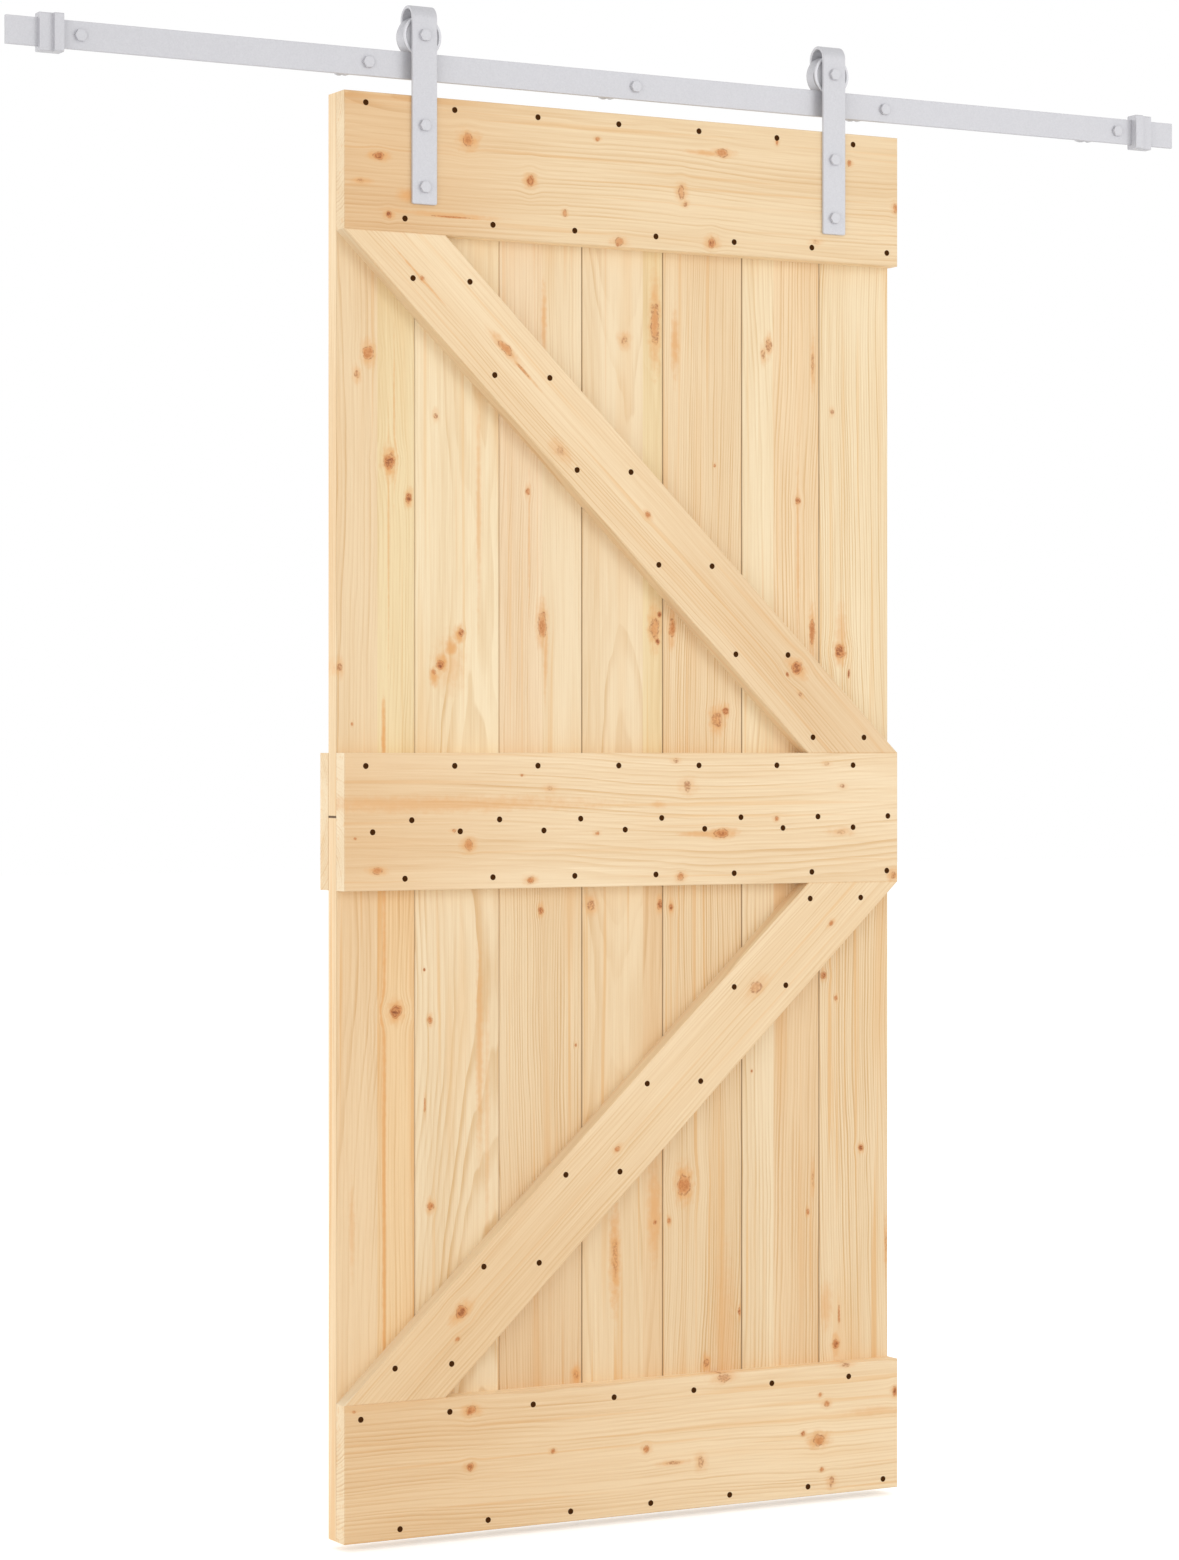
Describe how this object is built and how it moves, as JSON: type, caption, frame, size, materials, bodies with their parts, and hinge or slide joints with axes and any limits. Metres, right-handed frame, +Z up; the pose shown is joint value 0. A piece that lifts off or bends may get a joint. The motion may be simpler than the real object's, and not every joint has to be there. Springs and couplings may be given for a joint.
{
  "type": "sliding door",
  "caption": "Plank door leaf with level battens and diagonal braces, hung by bent strap hangers and grooved wheels from a flat wall rail with end stops.",
  "frame": {"origin": "on the wall, at the axis of the middle rail spacer", "axes": "+X along the rail to the right as seen from the front, +Y into the wall, +Z up"},
  "size_m": [2, 0.1398, 2.2335],
  "materials": {
    "pine": "planed, untreated",
    "grey_steel": "satin powder coat",
    "wheel_grey": "satin"
  },
  "bodies": {
    "wall_rail": {"rail": "grey_steel", "rail_spacer_1": "grey_steel", "rail_bolt_1": "grey_steel", "rail_spacer_2": "grey_steel", "rail_bolt_2": "grey_steel", "rail_spacer_3": "grey_steel", "rail_bolt_3": "grey_steel", "rail_spacer_4": "grey_steel", "rail_bolt_4": "grey_steel", "rail_spacer_5": "grey_steel", "rail_bolt_5": "grey_steel", "left_end_stop": "grey_steel", "right_end_stop": "grey_steel"},
    "door": {"upper_plank_1": "pine", "upper_plank_2": "pine", "upper_plank_3": "pine", "upper_plank_4": "pine", "upper_plank_5": "pine", "upper_plank_6": "pine", "upper_plank_7": "pine", "lower_plank_1": "pine", "lower_plank_2": "pine", "lower_plank_3": "pine", "lower_plank_4": "pine", "lower_plank_5": "pine", "lower_plank_6": "pine", "lower_plank_7": "pine", "top_batten": "pine", "middle_batten": "pine", "bottom_batten": "pine", "back_batten": "pine", "upper_brace": "pine", "lower_brace": "pine", "left_hanger_strap": "grey_steel", "left_axle": "grey_steel", "left_hanger_bolts": "grey_steel", "left_hanger_nuts": "grey_steel", "right_hanger_strap": "grey_steel", "right_axle": "grey_steel", "right_hanger_bolts": "grey_steel", "right_hanger_nuts": "grey_steel"},
    "left_wheel_body": {"left_wheel": "wheel_grey"},
    "right_wheel_body": {"right_wheel": "wheel_grey"}
  },
  "joints": [
    {"name": "door_slide", "type": "slide", "parent": "wall_rail", "child": "door", "axis": [1, 0, 0], "range_m": [-0.524, 0.544]},
    {"name": "left_wheel_spin", "type": "hinge", "parent": "door", "child": "left_wheel_body", "pos_m": [-0.362, -0.0785, 0.0431], "axis": [0, 1, 0], "continuous": true},
    {"name": "right_wheel_spin", "type": "hinge", "parent": "door", "child": "right_wheel_body", "pos_m": [0.342, -0.0785, 0.0431], "axis": [0, 1, 0], "continuous": true}
  ],
  "couplings": [
    {"joint": "left_wheel_spin", "follows": "door_slide", "rad_per_m": 43.86},
    {"joint": "right_wheel_spin", "follows": "door_slide", "rad_per_m": 43.86}
  ]
}
